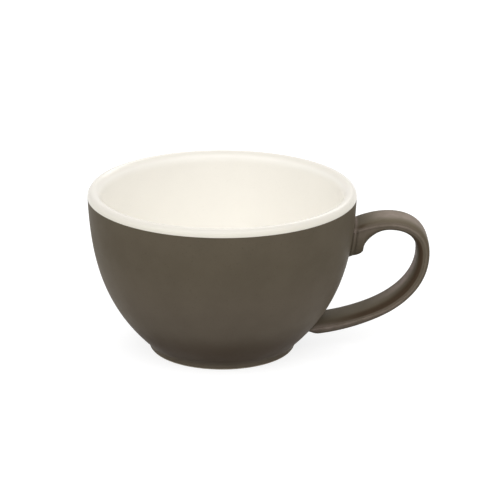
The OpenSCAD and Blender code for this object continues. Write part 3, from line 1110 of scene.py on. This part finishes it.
class CUP_OT_stage(bpy.types.Operator):
    """Set up the floor, the lamps, the surroundings and the camera"""

    bl_idname = "cup.stage"
    bl_label = "Studio"

    def execute(self, context):
        scene = context.scene
        s = scene.cup_stage
        scene.view_settings.view_transform = "Standard"
        self.add_floor(s)
        for name, power, place, wide, deep in LAMPS:
            self.add_lamp(name, getattr(s, power), Vector(place), wide, deep)
        self.add_surroundings(scene, s)
        self.add_camera(scene, s)
        return {"FINISHED"}

    @staticmethod
    def seen_directly(tree):
        """1 for rays from the camera, from a mirror or through glass, else 0."""
        path = tree.nodes.new("ShaderNodeLightPath").outputs
        direct = math_node(tree, "MAXIMUM", path["Is Camera Ray"], path["Is Glossy Ray"])
        return math_node(tree, "MAXIMUM", direct, path["Is Transmission Ray"])

    def add_floor(self, s):
        """A wide pale floor that keeps the cup's shadow."""
        mesh = bpy.data.meshes.new("floor")
        w = FLOOR_REACH
        mesh.from_pydata([(-w, -w, 0), (w, -w, 0), (w, w, 0), (-w, w, 0)], [], [(0, 1, 2, 3)])
        floor = placed("floor", mesh)
        paper = bpy.data.materials.new("floor_paper")
        paper.use_nodes = True
        tree = paper.node_tree
        shader = tree.nodes["Principled BSDF"].inputs
        shader["Base Color"].default_value = (s.floor_tone, s.floor_tone, s.floor_tone, 1)
        shader["Roughness"].default_value = 1.0
        shader["Specular IOR Level"].default_value = 0.0
        shader["Emission Color"].default_value = (1, 1, 1, 1)
        glow = math_node(tree, "MULTIPLY", self.seen_directly(tree), s.floor_glow)
        tree.links.new(glow, shader["Emission Strength"])
        mesh.materials.append(paper)

    @staticmethod
    def add_lamp(name, power, place, wide, deep):
        """A soft rectangular lamp aimed at the cup."""
        lamp = bpy.data.lights.new(name, "AREA")
        lamp.shape, lamp.size, lamp.size_y, lamp.energy = "RECTANGLE", wide, deep, power
        holder = placed(name, lamp)
        holder.location = place
        holder.rotation_euler = (LAMP_AIM - place).to_track_quat("-Z", "Y").to_euler()

    def add_surroundings(self, scene, s):
        """Even light from all round, which the camera sees as white."""
        world = bpy.data.worlds.new("surroundings")
        world.use_nodes = True
        scene.world = world
        tree = world.node_tree
        back = tree.nodes["Background"]
        back.inputs["Color"].default_value = (1, 1, 1, 1)
        strength = map_node(tree, self.seen_directly(tree), 0.0, 1.0, s.surround, 1.0, "LINEAR")
        tree.links.new(strength, back.inputs["Strength"])

    @staticmethod
    def add_camera(scene, s):
        """The camera at the photograph's height, distance and aim."""
        data = bpy.data.cameras.new("camera")
        data.sensor_width, data.lens = SENSOR_WIDTH, s.lens
        data.clip_start, data.clip_end = CLOSEST, FURTHEST
        camera = placed("camera", data)
        camera.location = (0, -s.distance * cos(s.rise), s.distance * sin(s.rise))
        aim = Matrix.Rotation(-s.turn, 3, "Z") @ Matrix.Rotation(pi / 2 - s.tilt, 3, "X")
        camera.rotation_euler = (aim @ Matrix.Rotation(s.roll, 3, "Z")).to_euler()
        scene.camera = camera


class CUP_PT_panel(bpy.types.Panel):
    """The cup's pieces, in the order in which they are made"""

    bl_label = "Cappuccino cup"
    bl_idname = "CUP_PT_panel"
    bl_space_type = "VIEW_3D"
    bl_region_type = "UI"
    bl_category = "Cup"

    def draw(self, context):
        for operator in PIECES:
            self.layout.operator(operator.bl_idname)
        for holder in GROUPS:
            box = self.layout.box()
            group = getattr(context.scene, holder)
            for field in group.__annotations__:
                box.prop(group, field)


# Registration and making

PIECES = (
    CUP_OT_clay_body,
    CUP_OT_liner_glaze,
    CUP_OT_wall_glaze,
    CUP_OT_base_glaze,
    CUP_OT_handle_glaze,
    CUP_OT_hidden_clay,
    CUP_OT_stage,
)
GROUPS = {
    "cup_bowl": CupBowlSizes,
    "cup_handle": CupHandleSizes,
    "cup_looks": CupGlazeLooks,
    "cup_stage": CupStageSettings,
}
CLASSES = (*GROUPS.values(), *PIECES, CUP_PT_panel)


def register():
    for item in CLASSES:
        bpy.utils.register_class(item)
    for name, group in GROUPS.items():
        setattr(bpy.types.Scene, name, PointerProperty(type=group))


def unregister():
    for name in GROUPS:
        delattr(bpy.types.Scene, name)
    for item in reversed(CLASSES):
        bpy.utils.unregister_class(item)


def main():
    register()
    bpy.ops.cup.clay_body()
    bpy.ops.cup.liner_glaze()
    bpy.ops.cup.wall_glaze()
    bpy.ops.cup.base_glaze()
    bpy.ops.cup.handle_glaze()
    bpy.ops.cup.hidden_clay()
    bpy.ops.cup.stage()


if __name__ == "__main__":
    main()
